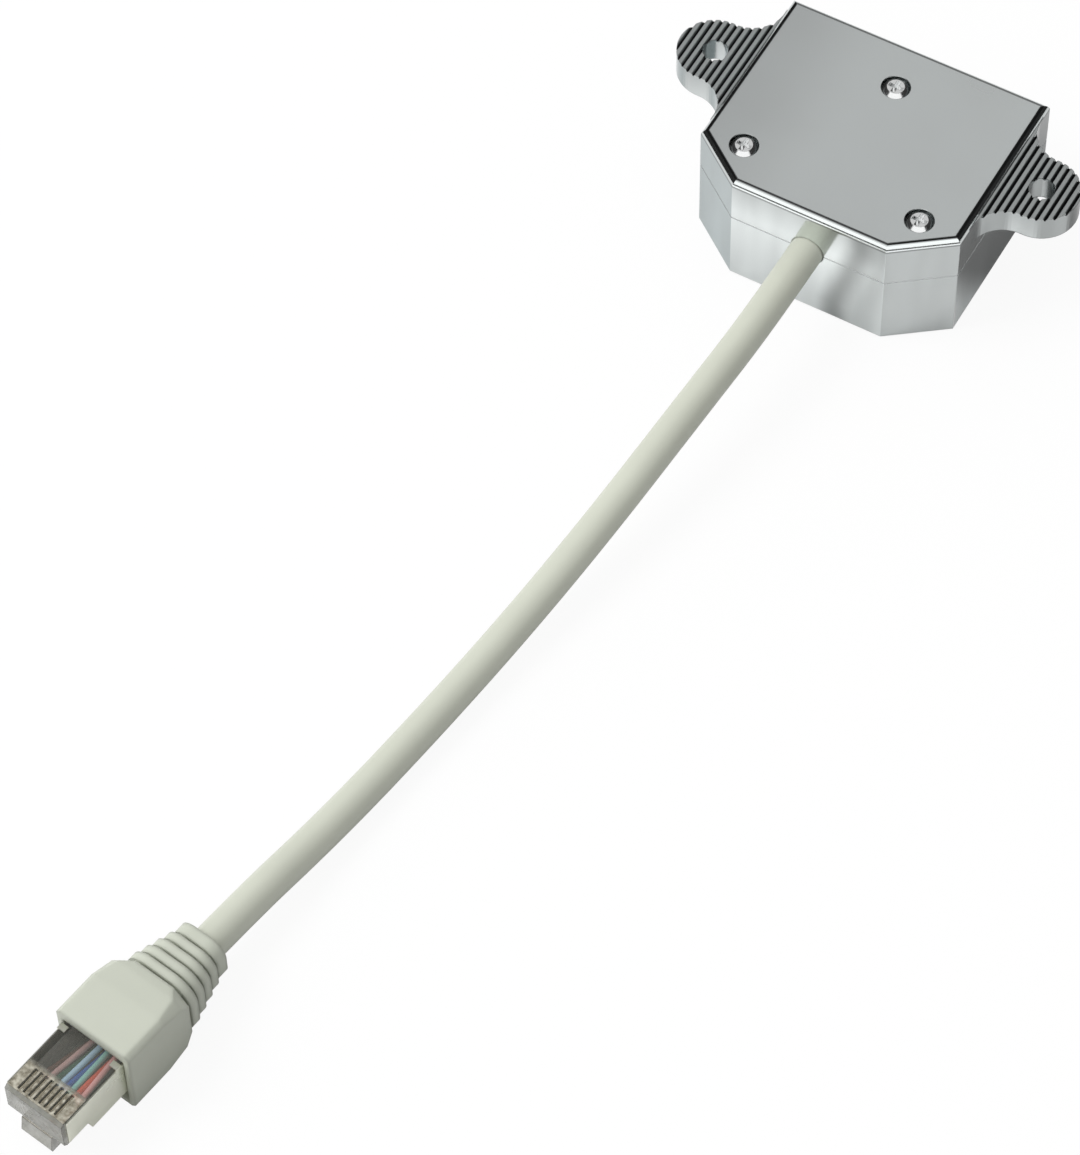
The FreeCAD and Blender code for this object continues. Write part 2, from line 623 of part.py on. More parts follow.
def build_circuit_board():
    body = make_body("circuit_board")
    sketch = make_sketch(body, "board_sketch", "XY_Plane", "floor_thickness + board_lift")
    half = f"({HALF_WIDTH} - wall - board_side_gap)"
    add_rectangle(sketch, minus(half), half, BOARD_EDGE, f"{HALF_LENGTH} - wall - board_back_gap")
    add_posts(sketch, "board_post_gap", SCREW_PLACES[2:])
    add_pad(body, "board", sketch, "board_thickness")
    return body


def build_jack_shield(name, side):
    """Folded sheet box, open below, with a window in its face."""
    body = make_body(name)
    middle = f"({side} * jack_spacing / 2)"
    half = "jack_width / 2"
    face = f"({HALF_LENGTH})"
    sketch = make_sketch(body, name + "_outer", "XZ_Plane", minus(face))
    add_rectangle(sketch, f"{middle} - {half}", f"{middle} + {half}", JACK_BASE, f"{JACK_BASE} + jack_height")
    add_pad(body, name + "_block", sketch, "jack_depth")
    inner = make_sketch(body, name + "_inner", "XY_Plane", JACK_BASE)
    add_rectangle(inner, f"{middle} - {half} + jack_sheet", f"{middle} + {half} - jack_sheet",
                  f"{face} - jack_depth + jack_sheet", f"{face} - jack_sheet")
    add_pocket(body, name + "_hollow", inner, "jack_height - jack_sheet", backwards=True)
    mouth = make_sketch(body, name + "_mouth", "XZ_Plane", minus(face))
    add_rectangle(mouth, f"{middle} - jack_mouth_width / 2", f"{middle} + jack_mouth_width / 2",
                  f"{JACK_BASE} + jack_mouth_low", f"{JACK_BASE} + jack_mouth_high")
    add_pocket(body, name + "_window", mouth, "2 * jack_sheet", middle=True)
    return body


def build_jack_body(name, side):
    """Moulded insert with a stepped socket and a channel for the springs."""
    body = make_body(name)
    middle = f"({side} * jack_spacing / 2)"
    half = "(jack_width / 2 - jack_sheet - jack_fit)"
    face = f"({HALF_LENGTH} - jack_sheet)"
    top = f"({JACK_BASE} + jack_height - jack_sheet - jack_fit)"
    depth = "(jack_depth - 2 * jack_sheet - jack_fit)"
    sketch = make_sketch(body, name + "_outer", "XZ_Plane", minus(face))
    add_rectangle(sketch, f"{middle} - {half}", f"{middle} + {half}", JACK_BASE, top)
    add_pad(body, name + "_block", sketch, depth)

    socket = make_sketch(body, name + "_socket_sketch", "XZ_Plane", minus(face))
    levels = [
        ("jack_socket_width / 2", "jack_socket_top", "jack_socket_floor"),
        ("jack_step_width / 2", "jack_socket_floor", "jack_step_floor"),
        ("jack_notch_width / 2", "jack_step_floor", "jack_notch_floor"),
    ]
    right = []
    for reach, high, low in levels:
        right += [(f"{middle} + {reach}", f"{JACK_BASE} + {high}"), (f"{middle} + {reach}", f"{JACK_BASE} + {low}")]
    left = [(across.replace(" + ", " - ", 1), up) for across, up in reversed(right)]
    add_polygon(socket, right + left)
    add_pocket(body, name + "_socket", socket, "jack_socket_depth", backwards=True)

    channel_half = "jack_channel_width / 2"
    channel = make_sketch(body, name + "_channel_sketch", "XY_Plane", top)
    add_rectangle(channel, f"{middle} - {channel_half}", f"{middle} + {channel_half}",
                  f"{face} - {depth}", f"{face} - jack_slot_front")
    add_pocket(body, name + "_channel", channel, "jack_channel_depth")
    slot = make_sketch(body, name + "_slot_sketch", "XY_Plane", top)
    add_rectangle(slot, f"{middle} - {channel_half}", f"{middle} + {channel_half}",
                  f"{face} - jack_slot_back", f"{face} - jack_slot_front")
    add_pocket(body, name + "_slot", slot, f"{top} - {JACK_BASE} - jack_socket_top + 1")
    legs = make_sketch(body, name + "_leg_sketch", "XZ_Plane", f"-({face} - {depth})")
    add_rectangle(legs, f"{middle} - {channel_half}", f"{middle} + {channel_half}", JACK_BASE, top)
    add_pocket(body, name + "_leg_channel", legs, "jack_channel_depth", backwards=False)
    return body


def build_jack_contacts(name, side):
    """Row of springs: up the back, over the top and down into the socket."""
    body = make_body(name)
    first = f"({side} * jack_spacing / 2 - (contact_count - 1) / 2 * contact_pitch)"
    sketch = make_sketch(body, name + "_sketch", "YZ_Plane", first)
    face = f"({HALF_LENGTH})"
    leg = f"({face} - jack_depth + jack_sheet + spring_leg_gap)"
    channel_floor = f"({JACK_BASE} + jack_height - jack_sheet - jack_fit - jack_channel_depth)"
    top = f"({channel_floor} + spring_lift + spring_thickness)"
    nose = f"({face} - spring_nose)"
    tip = f"({face} - spring_tip)"
    tip_top = f"({JACK_BASE} + spring_tip_height + spring_thickness)"
    slope = f"(({nose} - {tip}) / ({top} - {tip_top}))"
    add_polygon(sketch, [
        (leg, JACK_BASE), (leg, top), (nose, top), (nose, f"{top} - 1.15 * spring_thickness"),
        (tip, f"{tip_top} - 1.15 * spring_thickness"), (tip, tip_top),
        (f"{nose} - spring_thickness * {slope}", f"{top} - spring_thickness"),
        (f"{leg} + spring_thickness", f"{top} - spring_thickness"), (f"{leg} + spring_thickness", JACK_BASE),
    ])
    spring = add_pad(body, name + "_spring", sketch, "spring_width", middle=True)
    row = body.newObject("PartDesign::LinearPattern", name + "_row")
    row.Originals = [spring]
    row.Direction = (sketch, ["N_Axis"])
    row.Mode = "Spacing"
    row.setExpression("Offset", bound("contact_pitch"))
    row.setExpression("Occurrences", bound("contact_count"))
    body.Tip = row
    return body


# Cable and wires

def rounded_path(points, label):
    """Straight runs joined by arcs as large as the runs beside them allow."""
    share = 0.45
    edges = []
    radii = []
    start = points[0]
    for before, corner, after in zip(points, points[1:], points[2:]):
        back = (before - corner).normalize()
        ahead = (after - corner).normalize()
        turn = math.pi - back.getAngle(ahead)
        setback = share * min((before - corner).Length, (after - corner).Length)
        radius = setback / math.tan(turn / 2)
        radii.append(round(radius, 1))
        bisector = (back + ahead).normalize()
        middle = corner + bisector * (radius / math.cos(turn / 2) - radius)
        enter = corner + back * setback
        leave = corner + ahead * setback
        edges.append(Part.LineSegment(start, enter).toShape())
        edges.append(Part.Arc(enter, middle, leave).toShape())
        start = leave
    edges.append(Part.LineSegment(start, points[-1]).toShape())
    print(label, "arc radii in mm:", radii)
    return Part.Wire(edges)


def round_section(points, radius):
    """Circle across the start of a path."""
    return Part.Wire([Part.makeCircle(radius, points[0], (points[1] - points[0]).normalize())])


def tube_along(points, radius, label):
    path = rounded_path(points, label)
    tube = path.makePipeShell([round_section(points, radius)], True, True)
    expected = math.pi * radius ** 2 * path.Length
    if abs(tube.Volume - expected) > 0.01 * expected:
        raise ValueError("a tube does not fill its section along its length")
    print(label, "length in mm:", round(path.Length, 2))
    return tube


def wire_along(points, radius):
    """Thin wire with its bends drawn as mitres."""
    path = Part.makePolygon(points)
    wire = path.makePipeShell([round_section(points, radius)], True, False, 1)
    expected = math.pi * radius ** 2 * path.Length
    if abs(wire.Volume - expected) > 0.01 * expected:
        raise ValueError("a wire does not fill its section along its length")
    return wire


def add_shape(name, shape):
    item = doc.addObject("Part::Feature", name)
    item.Label = name
    item.Shape = shape
    return item


def cable_points():
    """Route of the cable, whose first point keeps its place behind the front wall."""
    points = [Vector(*point) for point in CABLE_ROUTE]
    points[0].y = size(f"cable_end - {HALF_LENGTH}")
    return points


def build_cable():
    return add_shape("cable", tube_along(cable_points(), size("cable_diameter / 2"), "cable"))


def build_cable_ferrule():
    """Crimped sleeve between the front wall and the rib."""
    body = make_body("cable_ferrule")
    front = f"({HALF_LENGTH} - wall - ferrule_gap)"
    sketch = make_sketch(body, "ferrule_sketch", "XZ_Plane", front)
    add_circle(sketch, "0", "parting_height", "cable_diameter / 2 + ferrule_thickness")
    add_circle(sketch, "0", "parting_height", "cable_diameter / 2 + crimp_gap")
    add_pad(body, "ferrule", sketch, "ferrule_length", backwards=True)
    return body


def bundle_place(way):
    """Where a wire leaves the jacket's end: two rows of four, the first way at the right."""
    level = 1 if way % 2 == 0 else -1
    across = (1.5 - way // 2) * size("bundle_pitch") + level * size("bundle_stagger")
    return across, level * size("bundle_rise")


def build_board_wires():
    """Eight wire ends, from the jacket's end slanting down to two rows of pads on the board."""
    radius = size("wire_diameter / 2")
    board_top = size(JACK_BASE)
    near = size(f"{BOARD_EDGE} + board_wire_place")
    far = near + size("board_wire_rows")
    start = cable_points()[0]
    wires = []
    for way in range(int(size("contact_count"))):
        across, up = bundle_place(way)
        leave = start + Vector(across, 0, up)
        land = Vector(leave.x, near if up < 0 else far, board_top)
        fall = (land - leave).normalize()
        sunk = radius * math.hypot(fall.x, fall.y)
        leave += fall * (radius * abs(fall.z / fall.y))
        land -= fall * (sunk / abs(fall.z))
        wires.append(wire_along([leave, land], radius))
    return add_shape("board_wires", Part.makeCompound(wires))


# Plug, drawn in its own frame

PLUG_BODY_HALF = "(plug_width / 2 - plug_sheet)"


def build_plug_body():
    body = make_body("plug_body")
    side = make_sketch(body, "plug_side", "YZ_Plane", "0")
    add_polygon(side, [
        ("0.01", "-plug_edge"), ("plug_edge", "-0.01"), ("plug_length", "-0.01"), ("plug_length", "-plug_height"),
        ("plug_nose_length + 0.2", "-plug_height"), ("plug_nose_length", "-plug_nose_height"),
        ("plug_edge", "-plug_nose_height"), ("0.01", "-plug_nose_height + plug_edge"),
    ])
    add_pad(body, "plug_block", side, f"2 * {PLUG_BODY_HALF}", middle=True)

    row = make_sketch(body, "wire_row_sketch", "XZ_Plane", "-plug_length")
    half_row = "(contact_count * contact_pitch / 2 + wire_row_gap)"
    above = "(-wire_row + wire_diameter / 2 + wire_row_gap)"
    below = "(-wire_row - wire_diameter / 2 - wire_row_gap)"
    add_rectangle(row, minus(half_row), half_row, below, above)
    add_pocket(body, "wire_channel", row, "plug_length - wire_front", backwards=True)
    bundle = make_sketch(body, "bundle_sketch", "XZ_Plane", "-plug_length")
    add_rectangle(bundle, "-bundle_half_width", "bundle_half_width", "-bundle_floor", "-bundle_roof")
    add_pocket(body, "bundle_hollow", bundle, "plug_length - bundle_front", backwards=True)

    slot = make_sketch(body, "blade_slot_sketch", "XY_Plane", "0")
    first = "(-(contact_count - 1) / 2 * contact_pitch)"
    half = "(blade_thickness / 2 + blade_gap)"
    add_rectangle(slot, f"{first} - {half}", f"{first} + {half}", "blade_front - blade_gap", "blade_back + blade_gap")
    cut = add_pocket(body, "blade_slot", slot, "blade_point + blade_gap")
    add_row(body, "blade_slots", cut, slot, "contact_count", "contact_pitch")
    place_in_plug_frame(body)
    return body


def build_plug_contacts():
    """Blades with two teeth that bite into their wire."""
    body = make_body("plug_contacts")
    first = "(-(contact_count - 1) / 2 * contact_pitch)"
    sketch = make_sketch(body, "blade_sketch", "YZ_Plane", first)
    inner = "-blade_shoulder + 0.2"
    add_polygon(sketch, [
        ("blade_front", "-blade_top"), ("blade_back", "-blade_top"), ("blade_back", "-blade_shoulder"),
        ("blade_back - 0.55", "-blade_point"), ("blade_back - 1.1", inner), ("blade_front + 1.1", inner),
        ("blade_front + 0.55", "-blade_point"), ("blade_front", "-blade_shoulder"),
    ])
    blade = add_pad(body, "blade", sketch, "blade_thickness", middle=True)
    row = body.newObject("PartDesign::LinearPattern", "blade_row")
    row.Originals = [blade]
    row.Direction = (sketch, ["N_Axis"])
    row.Mode = "Spacing"
    row.setExpression("Offset", bound("contact_pitch"))
    row.setExpression("Occurrences", bound("contact_count"))
    body.Tip = row
    place_in_plug_frame(body)
    return body


def build_plug_shield():
    """Folded sheet round the clear body, with a sleeve crimped on the cable."""
    body = make_body("plug_shield")
    axis = f"({CABLE_ROUTE[-1][2]} - plug_top)"
    side = make_sketch(body, "shield_side", "YZ_Plane", "0")
    roof = "plug_sheet"
    back = "(plug_length + plug_sheet)"
    add_polygon(side, [
        ("shield_front", "-shield_lip"), ("shield_roof", "-shield_lip"), ("shield_roof", roof), (back, roof),
        (back, "-plug_height - plug_sheet"), ("plug_nose_length + 0.2", "-plug_height - plug_sheet"),
        ("plug_nose_length - 0.6", "-plug_nose_height + shield_hem"),
        ("shield_front", "-plug_nose_height + shield_hem"),
    ])
    add_pad(body, "shield_block", side, "plug_width", middle=True)
    tabs = make_sketch(body, "tab_sketch", "XY_Plane", "-shield_lip")
    for left, right in (("-plug_width / 2", "-plug_width / 2 + tab_reach"),
                        ("plug_width / 2 - tab_reach", "plug_width / 2")):
        add_rectangle(tabs, left, right, "tab_front", "tab_front + tab_length")
    add_pad(body, "tabs", tabs, "shield_lip + plug_sheet")
    inside = make_sketch(body, "shield_inside", "YZ_Plane", "0")
    add_rectangle(inside, "-1", "plug_length", "-plug_height", "0")
    add_pocket(body, "shield_hollow", inside, f"2 * {PLUG_BODY_HALF}", middle=True)
    sleeve = make_sketch(body, "sleeve_sketch", "XZ_Plane", "-plug_length")
    add_circle(sleeve, "0", axis, "cable_diameter / 2 + crimp_thickness")
    add_pad(body, "sleeve", sleeve, "crimp_length + plug_sheet", backwards=True)
    bore = make_sketch(body, "sleeve_bore_sketch", "XZ_Plane", "-plug_length + 1")
    add_circle(bore, "0", axis, "cable_diameter / 2 + crimp_gap")
    add_pocket(body, "sleeve_bore", bore, "crimp_length + plug_sheet + 2")
    place_in_plug_frame(body)
    return body


def build_plug_latch():
    """Sprung latch under the nose: a locking block and a lever."""
    body = make_body("plug_latch")
    top = "(-plug_nose_height - latch_gap)"
    block = make_sketch(body, "block_sketch", "YZ_Plane", "0")
    add_polygon(block, [
        ("latch_pivot_y - 0.5", top), ("latch_pivot_y + 0.4", f"{top} - 0.05"), ("latch_back", f"{top} - 0.7"),
        ("latch_back", "-latch_depth"), ("latch_pivot_y - latch_lean", "-latch_depth"),
        ("latch_pivot_y - latch_lean - 0.2", "-latch_depth + 0.6"),
    ])
    add_pad(body, "locking_block", block, "latch_width", middle=True)
    lever = make_sketch(body, "lever_sketch", "YZ_Plane", "0")
    add_polygon(lever, [
        ("latch_back - 1", "-lever_start"), ("latch_back", "-lever_start"), ("lever_back", "-lever_end"),
        ("lever_back", "-lever_end - lever_thickness"), ("latch_back", "-lever_start - lever_thickness"),
        ("latch_back - 1", "-lever_start - lever_thickness"),
    ])
    add_pad(body, "lever", lever, "lever_width", middle=True)
    place_in_plug_frame(body)
    return body


def build_plug_wires():
    """One piece for each way, from the jacket's end to its blade, the first way at the right."""
    wires = []
    radius = size("wire_diameter / 2")
    level = CABLE_ROUTE[-1][2] - size("plug_top")
    row = -size("wire_row")
    jacket_end = size("plug_length + plug_sheet")
    front = size("wire_front + wire_row_gap")
    bend = size("bundle_front + wire_bend")
    for way in range(int(size("contact_count"))):
        across, up = bundle_place(way)
        place = ((size("contact_count") - 1) / 2 - way) * size("contact_pitch")
        points = [
            Vector(across, jacket_end - size("wire_end_gap"), level + up),
            Vector(place, bend, row),
            Vector(place, front, row),
        ]
        item = add_shape(f"plug_wire_{way + 1}", wire_along(points, radius))
        place_in_plug_frame(item)
        wires.append(item)
    return wires


def build_plug_boot():
    """Moulded boot: a box end whose bevels widen over its shoulder, and rings joined by corner webs."""
    body = make_body("plug_boot")
    table = "(-plug_top)"
    middle = f"({table} + boot_lift + boot_height / 2)"
    axis = f"({CABLE_ROUTE[-1][2]} - plug_top)"
    mouth = make_sketch(body, "boot_mouth", "XZ_Plane", "-boot_front")
    add_bevelled_rectangle(mouth, middle, "boot_width", "boot_height", "boot_bevel")
    add_pad(body, "boot_box", mouth, "boot_straight", backwards=True)
    start = make_sketch(body, "shoulder_start", "XZ_Plane", "-(boot_front + boot_straight)")
    add_bevelled_rectangle(start, middle, "boot_width", "boot_height", "boot_bevel")
    shoulder = make_sketch(body, "shoulder_end", "XZ_Plane", "-(boot_front + boot_shoulder)")
    halfway = f"(({middle} + {axis}) / 2)"
    add_bevelled_rectangle(shoulder, halfway, "shoulder_width", "shoulder_height", "shoulder_bevel")
    end = make_sketch(body, "taper_end", "XZ_Plane", "-(boot_front + boot_length)")
    add_bevelled_rectangle(end, axis, "boot_end_width", "boot_end_height", "boot_end_bevel")
    taper = body.newObject("PartDesign::AdditiveLoft", "boot_taper")
    taper.Profile = start
    taper.Sections = [shoulder, end]
    taper.Ruled = True

    count = int(size("ring_count"))
    for index in range(count):
        length = "collar_length" if index == count - 1 else "(ring_pitch - ring_gap)"
        gap_start = f"(boot_front + boot_length + {index} * ring_pitch)"
        across = f"(ring_first - {index} * ring_shrink)"
        webs = make_sketch(body, f"web_sketch_{index + 1}", "XZ_Plane", minus(gap_start))
        far = f"({across} * web_place)"
        near = f"({far} - web_width)"
        for left, right in ((minus(far), minus(near)), (near, far)):
            add_rectangle(webs, left, right, f"{axis} - {far}", f"{axis} - {near}")
            add_rectangle(webs, left, right, f"{axis} + {near}", f"{axis} + {far}")
        add_pad(body, f"webs_{index + 1}", webs, "ring_gap", backwards=True)
        ring = make_sketch(body, f"ring_sketch_{index + 1}", "XZ_Plane", f"-({gap_start} + ring_gap)")
        add_rounded_rectangle(ring, axis, across, across, f"{across} * ring_corner")
        add_pad(body, f"ring_{index + 1}", ring, length, backwards=True)

    bore = make_sketch(body, "boot_bore_sketch", "XZ_Plane", "-boot_front")
    add_circle(bore, "0", axis, "cable_diameter / 2 + cable_hole_gap")
    add_pocket(body, "boot_bore", bore, "boot_length + ring_count * ring_pitch + collar_length")
    sleeve = make_sketch(body, "boot_sleeve_sketch", "XZ_Plane", "-boot_front")
    add_circle(sleeve, "0", axis, "cable_diameter / 2 + crimp_thickness + boot_fit")
    sleeve_end = "plug_length + plug_sheet + crimp_length + boot_fit"
    add_pocket(body, "boot_sleeve", sleeve, f"{sleeve_end} - boot_front")
    hollow = make_sketch(body, "boot_hollow_sketch", "XZ_Plane", "-boot_front")
    add_rectangle(hollow, "-plug_width / 2 - boot_fit", "plug_width / 2 + boot_fit",
                  f"{table} + boot_lift + boot_wall", "plug_sheet + boot_fit")
    add_pocket(body, "boot_hollow", hollow, "boot_pocket")
    for feature in body.Group:
        if hasattr(feature, "Refine"):
            feature.Refine = False
    place_in_plug_frame(body)
    return body


SIDES = (("left", -1), ("right", 1))

parts = [build_upper_shell(), build_lower_shell(), build_case_screws(), build_circuit_board()]
for side_name, side_sign in SIDES:
    parts.append(build_jack_shield(f"jack_shield_{side_name}", side_sign))
    parts.append(build_jack_body(f"jack_body_{side_name}", side_sign))
    parts.append(build_jack_contacts(f"jack_contacts_{side_name}", side_sign))
parts += [build_cable(), build_cable_ferrule(), build_board_wires()]
parts += [build_plug_body(), build_plug_contacts(), build_plug_shield(), build_plug_latch()]
parts += build_plug_wires()
parts.append(build_plug_boot())

doc.recompute()

for item in doc.Objects:
    if {"Invalid", "Error"} & set(item.State):
        raise ValueError(f"{item.Label} failed to build")
for part in parts:
    if part.Shape.isNull() or not part.Shape.isValid() or not part.Shape.Solids:
        raise ValueError(f"{part.Label} has no valid solid")

os.makedirs("parts", exist_ok=True)
for part in parts:
    part.Shape.exportStep(f"parts/{part.Label}.step")
    print(part.Label, len(part.Shape.Solids), "solid(s), volume", round(part.Shape.Volume, 2))
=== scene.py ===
import math

import bpy
from mathutils import Matrix, Vector


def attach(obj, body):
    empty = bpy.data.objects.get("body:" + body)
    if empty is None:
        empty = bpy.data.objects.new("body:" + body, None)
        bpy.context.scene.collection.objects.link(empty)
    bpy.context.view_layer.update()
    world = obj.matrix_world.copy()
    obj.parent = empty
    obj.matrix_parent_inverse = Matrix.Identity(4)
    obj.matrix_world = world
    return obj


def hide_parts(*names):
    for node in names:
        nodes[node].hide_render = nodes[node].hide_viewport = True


# Ethernet splitter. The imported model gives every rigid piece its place; this script adds the
# camera, the cable, the finishes, the light and the floor. Metres, in the same frame.

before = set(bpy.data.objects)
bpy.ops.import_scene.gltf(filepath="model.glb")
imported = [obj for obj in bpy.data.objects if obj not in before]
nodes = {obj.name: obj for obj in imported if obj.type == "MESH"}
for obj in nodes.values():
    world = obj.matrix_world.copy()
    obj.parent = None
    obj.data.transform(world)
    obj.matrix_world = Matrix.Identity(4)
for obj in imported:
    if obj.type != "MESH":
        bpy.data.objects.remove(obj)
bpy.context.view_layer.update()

MM = 0.001

# Camera, at the photograph's angle
CAMERA_PLACE_MM = (218.44, -474.32, 667.77)
CAMERA_AZIMUTH = 30.831
CAMERA_ELEVATION = 56.109
CAMERA_ROLL = -1.460
CAMERA_LENS_MM = 166.67
CAMERA_SENSOR_MM = 36
CAMERA_NEAR = 0.01
CAMERA_FAR = 20

# Cable: the route's points are those of the solid tube, in millimetres
CABLE_DIAMETER = 5.8
CABLE_ROUTE_MM = [
    (0, -12, 14.8),
    (0, -34, 14.8),
    (-2.3, -57.5, 12.6),
    (-5.3, -80.5, 8.3),
    (-8.85, -102, 4.3),
    (-12.3, -124.5, 3.0),
    (-15.8, -147, 3.2),
    (-19.188, -170.142, 6.9),
    (-22.824, -193.359, 6.9),
]
CABLE_ROUND_STEPS = 10
CABLE_STEPS = 24
CABLE_ORDER = 3
PLUG_NOSE_MM = (-26.15, -214.6)
PLUG_YAW = -8.9
PLUG_PIECES = ["plug_boot", "plug_body", "plug_shield", "plug_contacts", "plug_latch"]
PLUG_PIECES += [f"plug_wire_{way}" for way in range(1, 9)]

# Colours, linear
PLATING_DARKER = (0.665, 0.70, 0.70)
PLATING_LIGHTER = (0.715, 0.745, 0.74)
# Painted reflection: a blue-grey tint for the left chamfer
PAINTED_LEFT_REFLECTION = (0.63, 0.71, 0.72)
# Painted shade for the sloping faces of the ears' grooves
PAINTED_GROOVE_SHADE = (0.03, 0.03, 0.032)
SCREW_STEEL = (0.95, 0.96, 0.96)
STEEL = (0.70, 0.72, 0.72)
NICKEL = (0.66, 0.66, 0.63)
PLUG_SHEET = (0.84, 0.85, 0.74)
GOLD = (0.83, 0.60, 0.28)
BLADE_GOLD = (0.86, 0.78, 0.60)
BOOT_BEIGE = (0.56, 0.585, 0.50)
CABLE_BEIGE = (0.60, 0.62, 0.53)
BOARD_GREEN = (0.02, 0.14, 0.06)
JACK_BLACK = (0.018, 0.018, 0.02)
WIRE_END_GREY = (0.7, 0.7, 0.66)
CLEAR_DARKER = (0.29, 0.29, 0.255)
CLEAR_LIGHTER = (0.40, 0.40, 0.36)
# The nose's own colour, speckled between these two by painted glints
NOSE_DARKER = (0.40, 0.36, 0.27)
NOSE_LIGHTER = (0.68, 0.65, 0.54)
# Painted shade along the clear moulding's sharp edges
PAINTED_OUTLINE_SHADE = (0.06, 0.055, 0.045)
WIRE_COLOURS = [
    ("wire_white_orange", (0.80, 0.38, 0.36)),
    ("wire_orange", (0.70, 0.10, 0.05)),
    ("wire_white_green", (0.30, 0.62, 0.55)),
    ("wire_blue", (0.03, 0.12, 0.42)),
    ("wire_white_blue", (0.45, 0.66, 0.82)),
    ("wire_green", (0.02, 0.10, 0.06)),
    ("wire_white_brown", (0.55, 0.34, 0.32)),
    ("wire_brown", (0.11, 0.04, 0.025)),
]

# The part of a noise's values that most of it lies in
NOISE_MIDDLE = (0.3, 0.7)

# Plating: how far a face points along an axis, from where it starts to count to where it counts fully
FLAT = (0.97, 0.995)
UPRIGHT = (0.3, 0.1)
TO_FRONT = (-0.9, -0.97)
TO_RIGHT = (0.9, 0.97)
TO_LEFT = (-0.3, -0.5)

# Plating: surface
TOP_FACE_Z = (0.0235, 0.0238)
PLATING_CLOUDS = 60
PLATING_ROUGH = (0.085, 0.15)
TOP_ADDED_ROUGH = 0.13
EAR_ADDED_ROUGH = 0.26
EDGE_RADIUS_FACING = (0.3, 0.9)
EDGE_RADIUS = (0.00035, 0.00010)
SPECKLE_SCALE = 2600
SPECKLE_STRENGTH = 0.10
SPECKLE_DEPTH = 0.00002
EAR_GRAIN_SCALE = 5200
EAR_GRAIN_STRENGTH = 0.5
EAR_GRAIN_DEPTH = 0.00003

# Plating: painted light, as a factor on the metal's colour
OTHER_WALL_LIGHT = 0.76
EAR_TOP_LIGHT = 0.84
LEFT_CHAMFER_LIGHT = 0.86
EAR_RIM_X = (0.0242, 0.0250)
EAR_RIM_LIGHT = 0.84
TOP_LIGHT_X = (-0.024, -0.004)
TOP_LIGHT = (0.86, 1.02)
STREAK_SCALE = 140
STREAK_STRETCH = (1.0, 1.0, 0.18)
STREAK_MIDDLE = (0.35, 0.65)
STREAK_LIGHT = (0.90, 1.08)

# Front wall, with a slanting shade beside the cable
FRONT_X = (-0.014, 0.014)
FRONT_LIGHT = (1.18, 1.32)
FRONT_FOOT_Z = (0.0, 0.016)
FRONT_HEAD_Z = (0.017, 0.0225)
FRONT_END_LIGHT = 0.76
BAND_Z = (0.004, 0.020)
BAND_X = (0.0051, 0.0095)
BAND_HALF_WIDTH = 0.0038
BAND_DARKNESS = 0.60

# Right wall, bright at its low front corner
RIGHT_CORNER_Y = -0.0127
RIGHT_SLANT = 1.2
RIGHT_REACH = (0.005, 0.018)
RIGHT_LIGHT = (1.35, 0.28)

# Rounded rim of the top, with a painted shine between two painted dark lines, by how far it points
# up: where each line rises and where it ends
HOUSING_SIDE_X = 0.02405
RIM_Z = (0.0224, 0.0226)
SHINE_RISE = (0.25, 0.35)
SHINE_END = (0.90, 0.84)
SHINE_TO_FRONT = (-0.05, -0.20)
SHINE_OFF_LEFT = (-0.35, -0.20)
SHINE_LIGHT = 1.36
LOW_LINE_RISE = (0.05, 0.10)
LOW_LINE_END = (0.30, 0.24)
LOW_LINE_DARKNESS = 0.55
HIGH_LINE_RISE = (0.86, 0.91)
HIGH_LINE_END = (0.997, 0.990)
HIGH_LINE_DARKNESS = 0.60

# Grooves of the ears, whose sloping faces get painted shade: their heights, and how far their slopes
# point up
GROOVE_TOP_Z = (0.02306, 0.02275)
GROOVE_BOTTOM_Z = (0.0224, 0.02255)
GROOVE_STEEPEST = 0.3
GROOVE_FLATTEST = 0.9

# Other bright metal
METAL_DARKER = 0.9
METAL_ROUGH_SPAN = (0.8, 1.25)
METAL_CLOUD_SHARE = 12
METAL_GRAIN = 1800
METAL_GRAIN_STRENGTH = 0.08
METAL_GRAIN_DEPTH = 0.00001
METAL_EDGE = 0.0001

# Moulded plastic
MOULDED_CLOUDS = 90
MOULDED_VARIATION = 0.06
MOULDED_ROUGH_CLOUDS = 400
MOULDED_ROUGH_SPAN = (0.9, 1.1)
MOULDED_GRAIN_SCALE = 1500
MOULDED_GRAIN_DEPTH = 0.00002

# Clear plastic
CLEAR_FLAT = (0.8, 0.95)
CLEAR_NOSE_DEPTH = (0.0062, 0.0052)
CLEAR_FLAT_ALPHA = 0.14
CLEAR_END_ALPHA = (0.62, 0.82)
CLEAR_NOSE_ALPHA = (0.42, 0.74)
CLEAR_OUTLINE_ALPHA = 0.85
CLEAR_OUTLINE_RADIUS = 0.00022
CLEAR_EDGE = 0.00012
CLEAR_ROUGH = 0.10
CLEAR_IOR = 1.5
GLINT_SCALE = 1100
GLINT_MIDDLE = (0.34, 0.68)
CLEAR_CLOUDS = 500
CLEAR_RIPPLE_SCALE = 700
CLEAR_RIPPLE_STRENGTH = 0.08
CLEAR_RIPPLE_DEPTH = 0.00003

# Cosine between a sharp edge's rounded and true directions, from open face to edge
OUTLINE_TURN = (0.985, 0.90)
BEVEL_SAMPLES = 6

